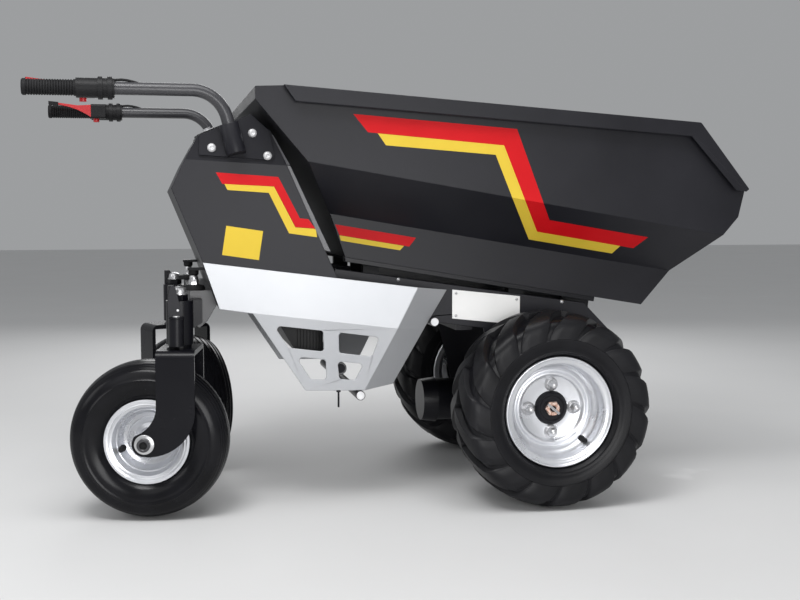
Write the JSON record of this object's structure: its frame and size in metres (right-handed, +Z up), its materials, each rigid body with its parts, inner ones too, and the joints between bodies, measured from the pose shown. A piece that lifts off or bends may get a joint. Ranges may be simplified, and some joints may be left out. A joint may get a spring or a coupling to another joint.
{
  "type": "site dumper",
  "caption": "Walk-behind battery dumper with a front-tipping tub, lugged drive wheels, swivel casters, windowed belly skirts and tiller handles.",
  "frame": {"origin": "on the ground under the middle of the overall box", "axes": "+X forward, the way the tub tips; +Z up; +Y to the left-hand side"},
  "size_m": [1.4816, 0.795, 0.8749],
  "materials": {
    "tyre": "matte black rubber",
    "rim_silver": "silver paint",
    "charcoal": "satin charcoal powder coat",
    "frame_black": "satin black powder coat",
    "skirt_silver": "light silver paint",
    "rod_steel": "bright steel",
    "motor_black": "black enamel",
    "box_black": "black plastic",
    "tube_grey": "dark grey powder coat",
    "rubber_black": "black rubber",
    "lever_red": "red plastic",
    "sign_white": "white plate, blank"
  },
  "bodies": {
    "chassis": {"console_side_right": "charcoal", "console_side_left": "charcoal", "console_rear_cover": "charcoal", "console_front_cover": "charcoal", "rail_right": "frame_black", "rail_left": "frame_black", "cross_members": "frame_black", "axle_housing": "frame_black", "rear_plate": "frame_black", "caster_beam": "frame_black", "caster_head_right": "frame_black", "caster_head_left": "frame_black", "handle_mount_right": "frame_black", "handle_mount_left": "frame_black", "side_plate_right": "skirt_silver", "side_plate_left": "skirt_silver", "tie_rods": "rod_steel", "drive_motor": "motor_black", "controller_box": "box_black", "battery_pack": "box_black", "dash_panel": "box_black", "controls": "box_black", "handlebar_right": "tube_grey", "handlebar_left": "tube_grey", "grips": "rubber_black", "rest_pads": "rubber_black", "levers": "lever_red", "sign_plate": "sign_white"},
    "tub": {"tub_floor": "charcoal", "tub_front": "charcoal", "tub_rear_wall": "charcoal", "tub_side_right": "charcoal", "tub_side_left": "charcoal", "tub_rim": "charcoal", "tub_subframe": "frame_black"},
    "actuator_barrel": {"actuator_barrel": "motor_black"},
    "actuator_rod": {"actuator_rod": "rod_steel"},
    "drive_wheel_right": {"drive_tyre_right": "tyre", "drive_rim_right": "rim_silver", "drive_hub_right": "frame_black"},
    "caster_right": {"caster_fork_right": "frame_black"},
    "caster_wheel_right": {"caster_tyre_right": "tyre", "caster_rim_right": "rim_silver"},
    "drive_wheel_left": {"drive_tyre_left": "tyre", "drive_rim_left": "rim_silver", "drive_hub_left": "frame_black"},
    "caster_left": {"caster_fork_left": "frame_black"},
    "caster_wheel_left": {"caster_tyre_left": "tyre", "caster_rim_left": "rim_silver"}
  },
  "joints": [
    {"name": "tub_tip", "type": "hinge", "parent": "chassis", "child": "tub", "pos_m": [0.44121, 0, 0.37505], "axis": [0, 1, 0], "range_deg": [0, 70]},
    {"name": "actuator_swing", "type": "hinge", "parent": "chassis", "child": "actuator_barrel", "pos_m": [-0.08879, 0, 0.40817], "axis": [0, -1, 0], "range_deg": [0, 12.56]},
    {"name": "actuator_stroke", "type": "slide", "parent": "actuator_barrel", "child": "actuator_rod", "axis": [0.9985, 0, 0.055], "range_m": [0, 0.1813]},
    {"name": "drive_spin_right", "type": "hinge", "parent": "chassis", "child": "drive_wheel_right", "pos_m": [0.31121, -0.315, 0.205], "axis": [0, 1, 0], "continuous": true},
    {"name": "drive_spin_left", "type": "hinge", "parent": "chassis", "child": "drive_wheel_left", "pos_m": [0.31121, 0.315, 0.205], "axis": [0, 1, 0], "continuous": true},
    {"name": "caster_swivel_right", "type": "hinge", "parent": "chassis", "child": "caster_right", "pos_m": [-0.45079, -0.257, 0.35], "axis": [0, 0, 1], "continuous": true},
    {"name": "caster_swivel_left", "type": "hinge", "parent": "chassis", "child": "caster_left", "pos_m": [-0.45079, 0.257, 0.35], "axis": [0, 0, 1], "continuous": true},
    {"name": "caster_spin_right", "type": "hinge", "parent": "caster_right", "child": "caster_wheel_right", "pos_m": [-0.51192, -0.24666, 0.16], "axis": [0.1668, 0.986, 0], "continuous": true},
    {"name": "caster_spin_left", "type": "hinge", "parent": "caster_left", "child": "caster_wheel_left", "pos_m": [-0.42756, 0.19951, 0.16], "axis": [-0.9272, -0.3746, 0], "continuous": true}
  ],
  "couplings": [
    {"joint": "actuator_swing", "follows": "tub_tip", "ratio": 0.17651},
    {"joint": "actuator_stroke", "follows": "tub_tip", "m_per_rad": 0.14797}
  ]
}
